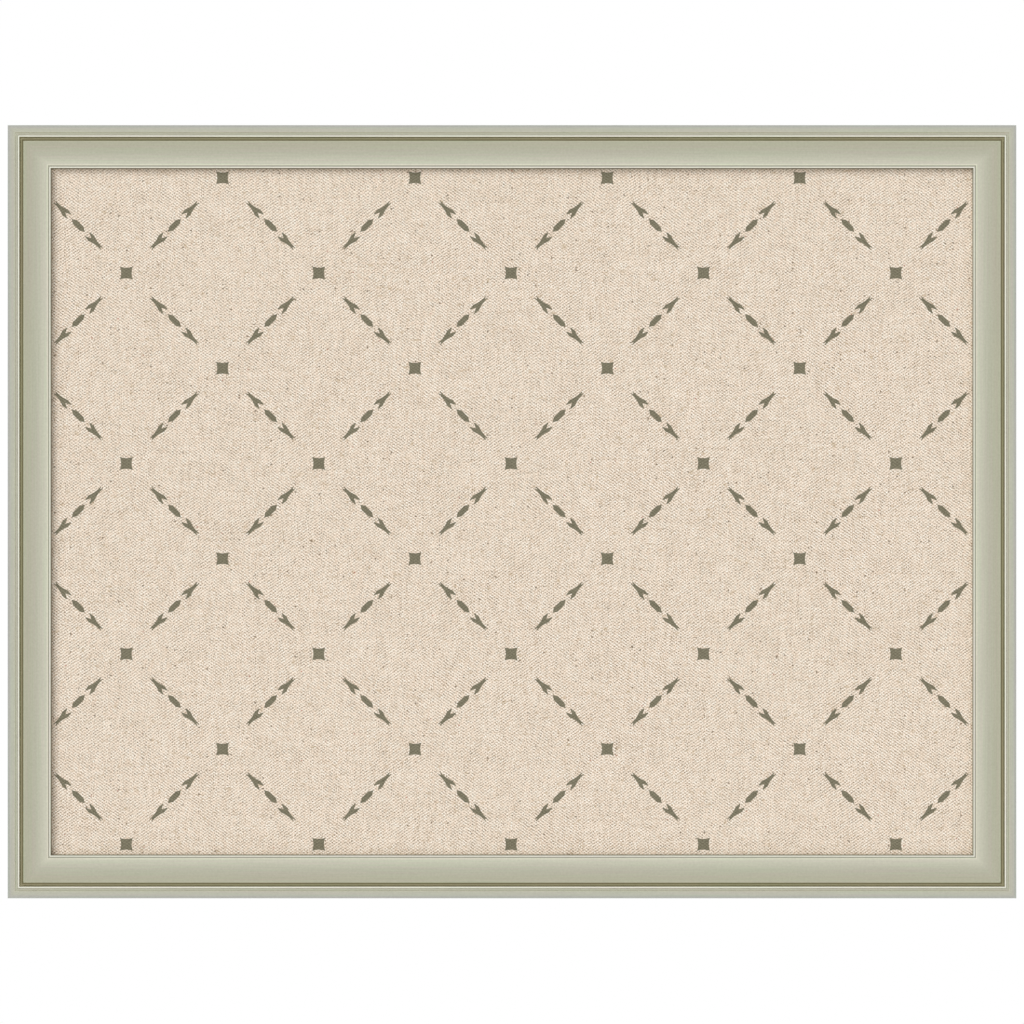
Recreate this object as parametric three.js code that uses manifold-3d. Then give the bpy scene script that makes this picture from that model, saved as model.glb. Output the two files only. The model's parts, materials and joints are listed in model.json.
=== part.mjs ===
// Framed pin board. A mitred scoop moulding holds a fabric-covered cork panel, and two pairs of strap hangers with
// D-rings on the back let it hang wide or tall.
// Millimetres. X runs along the width, Z is up and the face looks along -Y. The origin is the middle of the wall
// plane, which the four rubber bumpers touch.
import * as THREE from 'three';
import { mergeVertices } from 'three/addons/utils/BufferGeometryUtils.js';
import Module from 'manifold-3d';

const wasm = await Module();
wasm.setup();

// Panel: a cork sheet on a fibreboard core, in a stretched fabric cover that is stapled behind, and a hardboard back
const panelWidth = 609.6;
const panelHeight = 457.2;
const fabricThickness = 0.7;
const corkThickness = 3.2;
const coreThickness = 5.5;
const hemWidth = 26;
const backThickness = 3;
const glueLine = 0.1;

// Frame: the moulding's overall section, and how it takes the panel
const faceWidth = 28;
const mouldingDepth = 25;
const rabbetDepth = 17;
const sightLap = 6.35;
const panelFit = 0.8;
const lipPress = 0.3;
const cornerGlue = 0.05;

// Moulding face, from the outer side to the sight edge: widths across the face, heights above the rail's back
const sideHeight = 22.5;
const rollWidth = 4.75;
const rollHeight = 23.7;
const quirkWidth = 1.85;
const quirkHeight = 23.1;
const crestWidth = 1.2;
const channelWidth = 2.4;
const channelHeight = 21.8;
const scoopStartHeight = 22.6;
const scoopTurn = 8;
const scoopEndHeight = 20.6;
const beadQuirkWidth = 0.6;
const beadQuirkHeight = 20.2;
const beadWidth = 1.4;
const beadHeight = 21.2;
const backChamfer = 0.6;

// V-nails: two in each mitre, driven from the back
const nailThickness = 0.6;
const nailLeg = 5;
const nailLip = 1.1;
const nailBend = 0.8;
const nailDepth = 9;
const nailSunk = 0.2;
const nailPlaces = [4.6, 13.4];

// Flexible framer's points: they reach from slots in the rabbet wall over the hardboard back
const pointThickness = 0.5;
const pointWidth = 6;
const pointReach = 9.5;
const pointBite = 5.5;
const pointTip = 2.5;
const pointHole = 2.2;
const pointGap = 0.1;
const pointEnd = 105;
const longRailPoints = 3;
const shortRailPoints = 2;

// Staples: they hold the cover's hems to the core
const stapleWidth = 10;
const stapleLeg = 4.6;
const stapleWire = 0.7;
const stapleWireWidth = 1.2;
const stapleBend = 0.9;
const stapleInset = 13;
const stapleEnd = 65;
const longSideStaples = 4;
const shortSideStaples = 3;

// Strap hangers: a steel strap folded round the bar of a D-ring, with one screw through both layers
const hangerDrop = 150;
const strapWidth = 9.5;
const strapThickness = 0.9;
const strapGap = 0.2;
const strapNeck = 1.4;
const strapTail = 5.5;
const eyeRadius = 1.55;
const screwReach = 17.5;
const ringWire = 1.2;
const ringHalfWidth = 7.7;
const ringCorner = 2.4;
const ringReach = 11.2;
const ringSplit = 0.4;
const ringRest = 0.3;

// Hanger screws: pan heads over a straight shank and a point
const screwHeadRadius = 3.4;
const screwHeadHeight = 2.4;
const screwHeadEdge = 0.9;
const screwShank = 1.75;
const screwLength = 14;
const screwPoint = 3.5;
const screwHole = 2.1;
const screwSeat = 0.1;

// Rubber bumpers: they stand on the rail backs, near the corners, and touch the wall
const bumperHeight = 5.2;
const bumperRadius = 6.35;
const bumperTaper = 0.7;
const bumperEdge = 0.8;
const bumperPlace = 38;
const bumperSeat = 0.1;

// Clearance round a part that is sunk in another, and how far a cut runs past the face that it opens
const sunkFit = 0.3;
const overrun = 1;

// Points nearer to each other than this are one point
const closeness = 1e-5;

// Steps in a round stretch: the angle that one step of a bent strip turns, and counts for the rest
const bendStep = Math.PI / 8;
const curveSteps = 4;
const mouldingSteps = 8;
const roundSides = 20;
const wireQuarters = 4;
const ringSteps = 40;

// Places that follow from the sizes above
const sightWidth = panelWidth - 2 * sightLap;
const sightHeight = panelHeight - 2 * sightLap;
const frameWidth = sightWidth + 2 * faceWidth;
const frameHeight = sightHeight + 2 * faceWidth;
const railBack = -bumperHeight;
const backLand = faceWidth - sightLap - panelFit;
const panelEdge = backLand + panelFit;

// The stack in the rabbet, as heights above the rail's back: each layer's front, from the lip down
const fabricFront = rabbetDepth - glueLine;
const corkFront = fabricFront - fabricThickness - glueLine;
const coreFront = corkFront - corkThickness - glueLine;
const coreBack = coreFront - coreThickness;
const hemFront = coreBack - glueLine;
const hemBack = hemFront - fabricThickness;
const crownFront = hemBack - glueLine;
const backFront = crownFront - stapleWire - glueLine;
const pointFront = backFront - backThickness - pointGap;
const pointBack = pointFront - pointThickness;

const forward = new THREE.Vector3(0, -1, 0);
const backward = new THREE.Vector3(0, 1, 0);
const up = new THREE.Vector3(0, 0, 1);
const right = new THREE.Vector3(1, 0, 0);

const materials = {
  leaf: new THREE.MeshStandardMaterial({ color: 0xc4c3ae, roughness: 0.42, metalness: 0.55 }),
  fabric: new THREE.MeshStandardMaterial({ color: 0xe1d2bf, roughness: 0.95, metalness: 0 }),
  cork: new THREE.MeshStandardMaterial({ color: 0xb58a5a, roughness: 0.95, metalness: 0 }),
  fibreboard: new THREE.MeshStandardMaterial({ color: 0xb39a76, roughness: 0.95, metalness: 0 }),
  hardboard: new THREE.MeshStandardMaterial({ color: 0x6f4d31, roughness: 0.7, metalness: 0 }),
  steel: new THREE.MeshStandardMaterial({ color: 0xa9abad, roughness: 0.4, metalness: 1 }),
  zinc: new THREE.MeshStandardMaterial({ color: 0xc2c6c9, roughness: 0.3, metalness: 1 }),
  rubber: new THREE.MeshStandardMaterial({ color: 0x2b2b2b, roughness: 0.85, metalness: 0 }),
};

const board = new THREE.Group();

// Joining and cutting

function solidOf(geometry) {
  const bare = geometry.clone();
  bare.deleteAttribute('normal');
  bare.deleteAttribute('uv');
  const merged = mergeVertices(bare);
  return new wasm.Manifold(new wasm.Mesh({
    numProp: 3,
    vertProperties: merged.attributes.position.array,
    triVerts: Uint32Array.from(merged.index.array),
  }));
}

function geometryOf(solid) {
  const mesh = solid.getMesh();
  const geometry = new THREE.BufferGeometry();
  geometry.setAttribute('position', new THREE.BufferAttribute(mesh.vertProperties, 3));
  geometry.setIndex(new THREE.BufferAttribute(mesh.triVerts, 1));
  geometry.computeVertexNormals();
  return geometry;
}

function cut(geometry, tools) {
  const whole = tools.reduce((solid, tool) => solid.subtract(solidOf(tool)), solidOf(geometry));
  return geometryOf(whole);
}

// Shapes

function extrude(shape, depth, curveSegments = curveSteps) {
  return new THREE.ExtrudeGeometry(shape, { depth, curveSegments, bevelEnabled: false });
}

// A box between two corners
function boxBetween(low, high) {
  const size = high.map((value, axis) => value - low[axis]);
  const middle = high.map((value, axis) => (value + low[axis]) / 2);
  return new THREE.BoxGeometry(...size).translate(...middle);
}

// A flat path through the corners, each turned with the same radius
function roundedPath(corners, radius) {
  const points = corners.map(([x, y]) => new THREE.Vector2(x, y));
  const path = new THREE.Path();
  path.moveTo(points[0].x, points[0].y);
  for (let i = 1; i < points.length - 1; i += 1) {
    const corner = points[i];
    const before = points[i - 1].clone().sub(corner).normalize();
    const after = points[i + 1].clone().sub(corner).normalize();
    const half = before.angleTo(after) / 2;
    const centre = before.clone().add(after).setLength(radius / Math.sin(half)).add(corner);
    const start = before.clone().multiplyScalar(radius / Math.tan(half)).add(corner);
    const end = after.clone().multiplyScalar(radius / Math.tan(half)).add(corner);
    path.lineTo(start.x, start.y);
    const angles = [start, end].map((point) => point.sub(centre).angle());
    path.absarc(centre.x, centre.y, radius, ...angles, before.cross(after) > 0);
  }
  const last = points[points.length - 1];
  path.lineTo(last.x, last.y);
  return path;
}

// The outline of a strip of even thickness that follows a flat path
function stripShape(path, halfThickness) {
  const near = [];
  const far = [];
  for (const curve of path.curves.filter((piece) => piece.getLength() > closeness)) {
    const turn = curve.isLineCurve ? 0 : curve.getLength() / curve.xRadius;
    const steps = Math.max(1, Math.ceil(turn / bendStep));
    for (let i = near.length ? 1 : 0; i <= steps; i += 1) {
      const point = curve.getPoint(i / steps);
      const tangent = curve.getTangent(i / steps);
      const offset = new THREE.Vector2(-tangent.y, tangent.x).multiplyScalar(halfThickness);
      near.push(point.clone().add(offset));
      far.push(point.clone().sub(offset));
    }
  }
  return new THREE.Shape([...near, ...far.reverse()]);
}

// Geometry drawn in a shape's own x, y and depth, moved to stand on three axes at a place
function stand(geometry, x, y, z, place) {
  const axes = new THREE.Matrix4().makeBasis(x, y, z).setPosition(place);
  return geometry.applyMatrix4(axes);
}

function add(parent, name, geometry, material) {
  const mesh = new THREE.Mesh(geometry, material);
  mesh.name = name;
  parent.add(mesh);
}

// The four sides. A side's own axes are x inward from its outer edge, y forward from the rail's back, and z along it

const sides = [
  { name: 'top', inward: up.clone().negate(), length: frameWidth, span: frameHeight },
  { name: 'bottom', inward: up, length: frameWidth, span: frameHeight },
  { name: 'left', inward: right, length: frameHeight, span: frameWidth },
  { name: 'right', inward: right.clone().negate(), length: frameHeight, span: frameWidth },
];

for (const side of sides) {
  side.long = side.length === Math.max(frameWidth, frameHeight);
  side.along = side.inward.clone().cross(forward);
  side.group = new THREE.Group();
  const origin = side.inward.clone().multiplyScalar(-side.span / 2).setY(railBack);
  side.group.applyMatrix4(new THREE.Matrix4().makeBasis(side.inward, forward, side.along).setPosition(origin));
  board.add(side.group);
}

// Places spread evenly along a side of the panel, the first and the last a given way in from its ends
function spread(side, count, end) {
  const span = side.length - 2 * (panelEdge + end);
  return Array.from({ length: count }, (_, i) => (i / (count - 1)) * span - span / 2);
}

const boardCorners = [
  { name: 'top_left', x: -1, z: 1 },
  { name: 'top_right', x: 1, z: 1 },
  { name: 'bottom_left', x: -1, z: -1 },
  { name: 'bottom_right', x: 1, z: -1 },
];

// Moulding

function mouldingShape() {
  const quirkStart = rollWidth;
  const crestStart = quirkStart + quirkWidth;
  const channelStart = crestStart + crestWidth;
  const scoopStart = channelStart + channelWidth;
  const beadStart = faceWidth - beadWidth;
  const scoopEnd = beadStart - beadQuirkWidth;
  const crestRadius = crestWidth / 2;
  const beadRadius = beadWidth / 2;
  const shape = new THREE.Shape();
  shape.moveTo(backChamfer, 0);
  shape.lineTo(backLand, 0);
  shape.lineTo(backLand, rabbetDepth);
  shape.lineTo(faceWidth, rabbetDepth);
  shape.lineTo(faceWidth, beadHeight - beadRadius);
  shape.absarc(faceWidth - beadRadius, beadHeight - beadRadius, beadRadius, 0, Math.PI);
  shape.lineTo(beadStart, beadQuirkHeight);
  shape.lineTo(scoopEnd, beadQuirkHeight);
  shape.lineTo(scoopEnd, scoopEndHeight);
  shape.quadraticCurveTo(scoopStart + scoopTurn, scoopEndHeight, scoopStart, scoopStartHeight);
  shape.quadraticCurveTo(scoopStart, channelHeight, (scoopStart + channelStart) / 2, channelHeight);
  shape.quadraticCurveTo(channelStart, channelHeight, channelStart, mouldingDepth - crestRadius);
  shape.absarc(crestStart + crestRadius, mouldingDepth - crestRadius, crestRadius, 0, Math.PI);
  shape.quadraticCurveTo(crestStart, quirkHeight, crestStart - quirkWidth / 2, quirkHeight);
  shape.quadraticCurveTo(quirkStart, quirkHeight, quirkStart, rollHeight);
  shape.quadraticCurveTo(0, rollHeight, 0, sideHeight);
  shape.lineTo(0, backChamfer);
  shape.closePath();
  return shape;
}

// A length of moulding in its side's own axes, with both ends mitred back by the glue line
function mitredLength(length) {
  const geometry = extrude(mouldingShape(), length, mouldingSteps).translate(0, 0, -length / 2);
  const position = geometry.attributes.position;
  for (let i = 0; i < position.count; i += 1) {
    const end = Math.sign(position.getZ(i));
    position.setZ(i, position.getZ(i) - end * (position.getX(i) + cornerGlue));
  }
  return geometry;
}

// V-nails: a V of sheet steel with turned lips, its point towards the outer corner

function nailShape(fit) {
  const legEnd = nailLeg * Math.SQRT1_2;
  const lipEnd = legEnd + nailLip + fit;
  const corners = [[legEnd, -lipEnd], [legEnd, -legEnd], [0, 0], [legEnd, legEnd], [legEnd, lipEnd]];
  return stripShape(roundedPath(corners, nailBend), nailThickness / 2 + fit);
}

// Stood at a corner, from the corner's place, its inward diagonal and the way into the rail
function nailAt(shape, depth, sunk, corner, diagonal, into, place) {
  const across = into.clone().cross(diagonal);
  const origin = corner.clone().addScaledVector(diagonal, place * Math.SQRT2).addScaledVector(into, sunk);
  return stand(extrude(shape, depth), diagonal, across, into, origin);
}

function nailSlots(length) {
  const into = new THREE.Vector3(0, 1, 0);
  const slots = [];
  for (const end of [-1, 1]) {
    const corner = new THREE.Vector3(0, 0, end * length / 2);
    const diagonal = new THREE.Vector3(1, 0, -end).normalize();
    for (const place of nailPlaces) {
      const depth = nailSunk + nailDepth + sunkFit + overrun;
      slots.push(nailAt(nailShape(sunkFit), depth, -overrun, corner, diagonal, into, place));
    }
  }
  return slots;
}

// Framer's points, in a side's own axes

function pointPlaces(side) {
  return spread(side, side.long ? longRailPoints : shortRailPoints, pointEnd);
}

function pointShape() {
  const tail = pointReach - pointWidth / 2;
  const shape = new THREE.Shape();
  shape.moveTo(-pointBite, 0);
  shape.lineTo(pointTip - pointBite, -pointWidth / 2);
  shape.lineTo(tail, -pointWidth / 2);
  shape.absarc(tail, 0, pointWidth / 2, -Math.PI / 2, Math.PI / 2);
  shape.lineTo(pointTip - pointBite, pointWidth / 2);
  shape.closePath();
  const hole = new THREE.Path();
  hole.absarc(tail, 0, pointHole / 2, 0, 2 * Math.PI);
  shape.holes.push(hole);
  return shape;
}

function pointAt(place) {
  const x = new THREE.Vector3(1, 0, 0);
  const y = new THREE.Vector3(0, 0, -1);
  const z = new THREE.Vector3(0, 1, 0);
  return stand(extrude(pointShape(), pointThickness), x, y, z, new THREE.Vector3(backLand, pointBack, place));
}

function pointSlot(place) {
  const half = pointWidth / 2 + sunkFit;
  const deep = backLand - pointBite - sunkFit;
  return boxBetween(
    [deep, pointBack - sunkFit, place - half],
    [backLand + overrun, pointFront + sunkFit, place + half],
  );
}

// Hangers. A hanger's own axes are x along the ring's bar, y the way the ring points and z off the rail's back

const eyeHeight = strapThickness + eyeRadius;
const eyeCentre = eyeRadius + strapThickness / 2;
const strapTop = 2 * strapThickness + strapGap;
const ringLean = Math.asin((eyeHeight - ringWire - ringRest) / ringReach);

const portraitSides = ['top', 'bottom'];

function hangerPlace(side) {
  const middle = side.inward.clone().multiplyScalar(backLand / 2 - side.span / 2);
  const ringWay = portraitSides.includes(side.name) ? right.clone().negate() : up;
  const place = middle.addScaledVector(ringWay, side.length / 2 - hangerDrop).setY(railBack);
  return { place, ringWay, barWay: ringWay.clone().cross(backward) };
}

// The strap's centre line, seen along the bar: x runs from the eye to the tail, y off the rail's back
function strapPath() {
  const upperHeight = strapTop - strapThickness / 2;
  const neckHeight = upperHeight + strapNeck;
  const rise = neckHeight - eyeHeight;
  const apart = eyeCentre + strapNeck;
  const neckPlace = Math.sqrt(apart ** 2 - rise ** 2);
  const meet = Math.atan2(rise, neckPlace);
  const end = screwReach + strapTail;
  const path = new THREE.Path();
  path.moveTo(end, strapThickness / 2);
  path.lineTo(0, strapThickness / 2);
  path.absarc(0, eyeHeight, eyeCentre, -Math.PI / 2, meet - 2 * Math.PI, true);
  path.absarc(neckPlace, neckHeight, strapNeck, Math.PI + meet, 1.5 * Math.PI, false);
  path.lineTo(end, upperHeight);
  return path;
}

// The strap from above, with a round tail
function strapPlan() {
  const half = strapWidth / 2;
  const tail = screwReach + strapTail - half;
  const shape = new THREE.Shape();
  shape.moveTo(-eyeHeight - overrun, -half);
  shape.lineTo(tail, -half);
  shape.absarc(tail, 0, half, -Math.PI / 2, Math.PI / 2);
  shape.lineTo(-eyeHeight - overrun, half);
  shape.closePath();
  return shape;
}

function screwCylinder(radius, low, high) {
  const length = high - low;
  return new THREE.CylinderGeometry(radius, radius, length, roundSides)
    .rotateX(Math.PI / 2)
    .translate(0, -screwReach, (high + low) / 2);
}

function strapGeometry() {
  const down = new THREE.Vector3(0, -1, 0);
  const out = new THREE.Vector3(0, 0, 1);
  const across = new THREE.Vector3(1, 0, 0);
  const back = across.clone().negate();
  const strip = extrude(stripShape(strapPath(), strapThickness / 2), strapWidth);
  stand(strip, down, out, back, new THREE.Vector3(strapWidth / 2, 0, 0));
  const plan = extrude(strapPlan(), 2 * (eyeHeight + overrun));
  stand(plan, down, across, out, new THREE.Vector3(0, 0, -overrun));
  const hole = screwCylinder(screwHole, -overrun, strapTop + overrun);
  return geometryOf(solidOf(strip).intersect(solidOf(plan)).subtract(solidOf(hole)));
}

// The ring's centre line: a D, split where its bar runs through the eye
class RingCurve extends THREE.Curve {
  constructor() {
    super();
    const bow = ringReach - ringHalfWidth;
    const turn = ringHalfWidth - ringCorner;
    this.path = new THREE.Path();
    this.path.moveTo(ringSplit / 2, 0);
    this.path.lineTo(turn, 0);
    this.path.absarc(turn, ringCorner, ringCorner, -Math.PI / 2, 0);
    this.path.absarc(0, bow, ringHalfWidth, 0, Math.PI);
    this.path.absarc(-turn, ringCorner, ringCorner, Math.PI, 1.5 * Math.PI);
    this.path.lineTo(-ringSplit / 2, 0);
  }

  getPoint(share, target = new THREE.Vector3()) {
    const { x, y } = this.path.getPoint(share);
    return target.set(x, y, 0);
  }
}

function ringGeometry() {
  const section = new THREE.Shape();
  section.absarc(0, 0, ringWire, 0, 2 * Math.PI);
  const options = { steps: ringSteps, curveSegments: wireQuarters, extrudePath: new RingCurve() };
  return new THREE.ExtrudeGeometry(section, options).rotateX(-ringLean).translate(0, 0, eyeHeight);
}

function screwGeometry() {
  const seat = strapTop + screwSeat;
  const crown = seat + screwHeadHeight;
  const profile = new THREE.Path();
  profile.moveTo(0, crown - screwLength - screwHeadHeight);
  profile.lineTo(screwShank, crown - screwLength - screwHeadHeight + screwPoint);
  profile.lineTo(screwShank, seat);
  profile.lineTo(screwHeadRadius, seat);
  profile.lineTo(screwHeadRadius, seat + screwHeadEdge);
  profile.quadraticCurveTo(screwHeadRadius, crown, screwShank, crown);
  profile.lineTo(0, crown);
  return new THREE.LatheGeometry(profile.getPoints(curveSteps), roundSides)
    .rotateX(Math.PI / 2)
    .translate(0, -screwReach, 0);
}

// The pilot hole in a hanger's own axes
function pilotHole() {
  return screwCylinder(screwShank + sunkFit, strapTop - screwLength - sunkFit, overrun);
}

// Rails, each with its V-nail slots, point slots and pilot hole

for (const side of sides) {
  const { place, ringWay, barWay } = hangerPlace(side);
  const toSide = side.group.matrix.clone().invert();
  const pilot = stand(pilotHole(), barWay, ringWay, backward, place).applyMatrix4(toSide);
  const cuts = [...nailSlots(side.length), ...pointPlaces(side).map(pointSlot), pilot];
  add(side.group, `rail_${side.name}`, cut(mitredLength(side.length), cuts), materials.leaf);
}

for (const { name, x, z } of boardCorners) {
  const corner = new THREE.Vector3(x * frameWidth / 2, railBack, z * frameHeight / 2);
  const diagonal = new THREE.Vector3(-x, 0, -z).normalize();
  nailPlaces.forEach((place, i) => {
    const nail = nailAt(nailShape(0), nailDepth, nailSunk, corner, diagonal, forward, place);
    add(board, `v_nail_${name}_${i + 1}`, nail, materials.steel);
  });
}

// Panel

// A box whose faces lie at heights above the rail's back, centred on the board
function layer(width, height, back, front) {
  return boxBetween(
    [-width / 2, railBack - front, -height / 2],
    [width / 2, railBack - back, height / 2],
  );
}

const insideWidth = panelWidth - 2 * (fabricThickness + glueLine);
const insideHeight = panelHeight - 2 * (fabricThickness + glueLine);

// Staples, in a side's own axes: each lies along the edge of the panel

function staplePlaces(side) {
  return spread(side, side.long ? longSideStaples : shortSideStaples, stapleEnd);
}

function stapleAt(place) {
  const half = (stapleWidth - stapleWire) / 2;
  const corners = [[-half, stapleLeg], [-half, 0], [half, 0], [half, stapleLeg]];
  const shape = stripShape(roundedPath(corners, stapleBend), stapleWire / 2);
  const x = new THREE.Vector3(0, 0, 1);
  const y = new THREE.Vector3(0, 1, 0);
  const z = new THREE.Vector3(-1, 0, 0);
  const origin = new THREE.Vector3(
    panelEdge + stapleInset + stapleWireWidth / 2,
    crownFront - stapleWire / 2,
    place,
  );
  return stand(extrude(shape, stapleWireWidth), x, y, z, origin);
}

// One slot for each leg, through the hem and into the core
function stapleSlots(place) {
  const middle = (stapleWidth - stapleWire) / 2;
  const half = stapleWire / 2 + sunkFit;
  const acrossHalf = stapleWireWidth / 2 + sunkFit;
  const across = panelEdge + stapleInset;
  const deep = crownFront - stapleWire / 2 + stapleLeg + sunkFit;
  return [-middle, middle].map((leg) => boxBetween(
    [across - acrossHalf, hemBack - overrun, place + leg - half],
    [across + acrossHalf, deep, place + leg + half],
  ));
}

const allStapleSlots = sides.flatMap((side) => staplePlaces(side)
  .flatMap(stapleSlots)
  .map((slot) => slot.applyMatrix4(side.group.matrix)));

// The cover: a tray with hems turned in behind, its face standing proud inside the sight opening
function coverGeometry() {
  const wrap = layer(panelWidth, panelHeight, hemBack, fabricFront);
  const proud = layer(
    sightWidth - 2 * sunkFit,
    sightHeight - 2 * sunkFit,
    fabricFront - fabricThickness / 2,
    fabricFront + lipPress,
  );
  const inside = layer(insideWidth, insideHeight, hemFront, corkFront + glueLine);
  const window = layer(panelWidth - 2 * hemWidth, panelHeight - 2 * hemWidth, hemBack - overrun, coreBack);
  const whole = solidOf(wrap).add(solidOf(proud)).subtract(solidOf(inside)).subtract(solidOf(window));
  return cut(geometryOf(whole), allStapleSlots);
}

add(board, 'fabric_cover', coverGeometry(), materials.fabric);
add(board, 'cork_sheet', layer(insideWidth, insideHeight, coreFront + glueLine, corkFront), materials.cork);
add(
  board,
  'fibreboard_core',
  cut(layer(insideWidth, insideHeight, coreBack, coreFront), allStapleSlots),
  materials.fibreboard,
);
add(
  board,
  'hardboard_back',
  layer(panelWidth, panelHeight, backFront - backThickness, backFront),
  materials.hardboard,
);

// Fasteners and hangers on each side

for (const side of sides) {
  pointPlaces(side).forEach((place, i) => {
    add(side.group, `framer_point_${side.name}_${i + 1}`, pointAt(place), materials.steel);
  });
  staplePlaces(side).forEach((place, i) => {
    add(side.group, `staple_${side.name}_${i + 1}`, stapleAt(place), materials.steel);
  });
  const { place, ringWay, barWay } = hangerPlace(side);
  const hanger = new THREE.Group();
  hanger.applyMatrix4(new THREE.Matrix4().makeBasis(barWay, ringWay, backward).setPosition(place));
  add(hanger, `strap_hanger_${side.name}`, strapGeometry(), materials.zinc);
  add(hanger, `d_ring_${side.name}`, ringGeometry(), materials.zinc);
  add(hanger, `hanger_screw_${side.name}`, screwGeometry(), materials.zinc);
  board.add(hanger);
}

// Bumpers

function bumperGeometry() {
  const top = bumperRadius - bumperTaper;
  const profile = new THREE.Path();
  profile.moveTo(0, bumperSeat);
  profile.lineTo(bumperRadius, bumperSeat);
  profile.lineTo(top, bumperHeight - bumperEdge);
  profile.quadraticCurveTo(top, bumperHeight, top - bumperEdge, bumperHeight);
  profile.lineTo(0, bumperHeight);
  return new THREE.LatheGeometry(profile.getPoints(curveSteps), roundSides).translate(0, railBack, 0);
}

for (const { name, x, z } of boardCorners) {
  const place = [x * (frameWidth / 2 - bumperPlace), 0, z * (frameHeight - backLand) / 2];
  add(board, `bumper_${name}`, bumperGeometry().translate(...place), materials.rubber);
}

export default board;
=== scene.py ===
# %% [markdown]
# # A framed pin board
#
# A fabric-covered cork panel sits in a narrow silver-leafed moulding. The solids come packed from CAD. Here
# every visible piece gets its fine shape and its finish. Lengths are in metres, Z is up, and the face looks
# along -Y.

# %% The frame
import json
from math import pi, radians

import bmesh
import bpy
from mathutils import Matrix, Vector

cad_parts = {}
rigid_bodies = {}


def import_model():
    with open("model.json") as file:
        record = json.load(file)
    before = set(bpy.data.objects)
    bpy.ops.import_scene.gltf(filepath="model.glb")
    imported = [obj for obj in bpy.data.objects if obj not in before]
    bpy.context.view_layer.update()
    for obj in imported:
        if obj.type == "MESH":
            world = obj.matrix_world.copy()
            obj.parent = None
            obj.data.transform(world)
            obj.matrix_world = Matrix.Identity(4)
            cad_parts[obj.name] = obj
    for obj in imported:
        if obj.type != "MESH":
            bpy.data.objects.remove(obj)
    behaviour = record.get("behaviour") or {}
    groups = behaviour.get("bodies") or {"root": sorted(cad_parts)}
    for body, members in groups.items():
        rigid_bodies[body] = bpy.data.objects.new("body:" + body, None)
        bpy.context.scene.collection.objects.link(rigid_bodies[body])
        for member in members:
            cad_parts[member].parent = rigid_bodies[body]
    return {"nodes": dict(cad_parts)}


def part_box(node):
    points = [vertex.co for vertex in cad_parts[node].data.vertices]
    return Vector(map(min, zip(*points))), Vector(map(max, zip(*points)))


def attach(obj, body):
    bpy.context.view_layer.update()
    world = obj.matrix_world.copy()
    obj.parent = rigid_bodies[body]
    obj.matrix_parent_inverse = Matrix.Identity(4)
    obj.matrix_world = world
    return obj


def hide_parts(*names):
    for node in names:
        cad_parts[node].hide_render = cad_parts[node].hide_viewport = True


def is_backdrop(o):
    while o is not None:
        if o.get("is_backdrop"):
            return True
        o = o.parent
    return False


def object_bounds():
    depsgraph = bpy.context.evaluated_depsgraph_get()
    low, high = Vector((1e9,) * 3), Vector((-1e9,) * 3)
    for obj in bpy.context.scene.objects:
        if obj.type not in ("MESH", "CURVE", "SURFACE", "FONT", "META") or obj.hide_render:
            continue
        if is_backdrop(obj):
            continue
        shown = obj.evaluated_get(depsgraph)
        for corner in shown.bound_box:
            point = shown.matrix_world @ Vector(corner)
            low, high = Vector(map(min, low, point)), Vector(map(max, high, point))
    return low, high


for leftover in list(bpy.data.objects):
    bpy.data.objects.remove(leftover)

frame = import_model()
cad_low, cad_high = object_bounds()
print("CAD box, mm:", [round(1000 * side, 1) for side in cad_high - cad_low])

# %% [markdown]
# ## Units and sizes
#
# CAD sizes are easier to read in millimetres, so `mm` turns them into metres. The sizes that the looks need
# are read from the boxes of the CAD nodes, so they follow the CAD model.

# %% Sizes
mm = 0.001
sides = ("top", "bottom", "left", "right")

half_width, half_height = cad_high.x, cad_high.z
rail_low, rail_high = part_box("rail_top")
face_width = rail_high.z - rail_low.z
rail_back = rail_high.y
sight_width, sight_height = half_width - face_width, half_height - face_width
print("sight opening, mm:", round(2 * sight_width / mm, 1), "x", round(2 * sight_height / mm, 1))

# %% [markdown]
# ## The camera
#
# The photograph is taken square on with a long lens, so parallel edges stay parallel. The lens is a
# telephoto. The distance then follows from how much of the photograph's width the board fills, measured in
# pixels. It counts from where the moulding is widest, which is well in front of its back.

# %% The camera
image_size = 1024
board_left, board_right = 7.7, 1016.3
board_middle_row = 511.72
widest_at = 22.5 * mm

camera_data = bpy.data.cameras.new("camera")
camera_data.lens = 200
pixel = 2 * half_width / (board_right - board_left)
distance = pixel * image_size * camera_data.lens / camera_data.sensor_width

camera = bpy.data.objects.new("camera", camera_data)
camera.location = (0, rail_back - widest_at - distance, (board_middle_row - image_size / 2) * pixel)
camera.rotation_euler = (pi / 2, 0, 0)
bpy.context.scene.collection.objects.link(camera)
bpy.context.scene.camera = camera
bpy.context.scene.view_settings.view_transform = "Standard"
print("camera distance, m:", round(distance, 3))

# %% [markdown]
# ## Colours and nodes
#
# Colours are written as sRGB hex values, the way a paint chart or an image editor gives them. Blender's
# nodes want linear light, so `linear` converts them. `add` puts one node in a tree: its inputs by name or
# number, each a plain value, a socket or another node, and its settings as keywords.

# %% Colours and nodes
def linear(code):
    shares = [int(code[start:start + 2], 16) / 255 for start in (1, 3, 5)]
    return [share / 12.92 if share <= 0.04045 else ((share + 0.055) / 1.055) ** 2.4 for share in shares] + [1]


def add(tree, kind, inputs=None, **settings):
    node = tree.nodes.new("ShaderNode" + kind)
    for name, value in settings.items():
        setattr(node, name, value)
    for key, value in (inputs or {}).items():
        if isinstance(key, int):
            socket = node.inputs[key]
        else:
            socket = next(entry for entry in node.inputs if entry.enabled and entry.name == key)
        if isinstance(value, bpy.types.Node):
            value = next(output for output in value.outputs if output.enabled)
        if isinstance(value, bpy.types.NodeSocket):
            tree.links.new(value, socket)
        else:
            socket.default_value = value
    return node


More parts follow.
